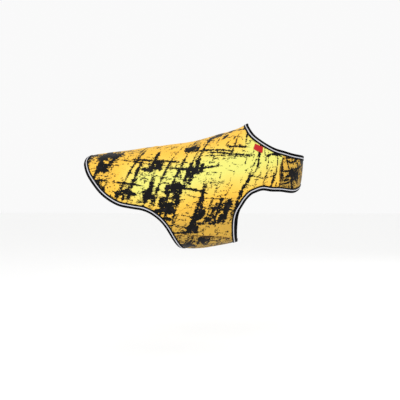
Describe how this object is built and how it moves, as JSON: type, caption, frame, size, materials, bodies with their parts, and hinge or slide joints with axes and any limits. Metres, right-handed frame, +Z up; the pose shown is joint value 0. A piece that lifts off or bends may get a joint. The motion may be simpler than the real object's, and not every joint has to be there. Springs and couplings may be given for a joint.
{
  "type": "dog cape",
  "caption": "Fitted waterproof dog coat with a chest strap and belly bands that wrap under the body, and dark bound edges with a silver stripe.",
  "frame": {"origin": "inner face of the cape on the centre back at the withers, where the wearer's back holds it", "axes": "+X towards the head, +Y to the wearer's left, +Z up"},
  "size_m": [0.5341, 0.2192, 0.3073],
  "materials": {
    "printed_cloth": "smooth coated softshell with a dark brushed print",
    "binding_tape": "matte woven binding tape",
    "reflective_stripe": "silver reflective tape",
    "loop_tape": "soft loop pile",
    "hook_tape": "fine moulded hooks on a woven back",
    "label": "bare woven label"
  },
  "bodies": {
    "root": {"body_panel": "printed_cloth", "belly_band_right": "printed_cloth", "belly_band_left": "printed_cloth", "chest_strap_right": "printed_cloth", "chest_strap_left": "printed_cloth", "neck_binding": "binding_tape", "hem_binding": "binding_tape", "leg_binding_right": "binding_tape", "leg_binding_left": "binding_tape", "belly_end_binding_right": "binding_tape", "belly_end_binding_left": "binding_tape", "chest_end_binding_right": "binding_tape", "chest_end_binding_left": "binding_tape", "neck_stripe": "reflective_stripe", "hem_stripe": "reflective_stripe", "leg_stripe_right": "reflective_stripe", "leg_stripe_left": "reflective_stripe", "belly_loop_pad": "loop_tape", "chest_loop_pad": "loop_tape", "belly_hook_pad": "hook_tape", "chest_hook_pad": "hook_tape", "neck_label": "label"}
  },
  "joints": []
}
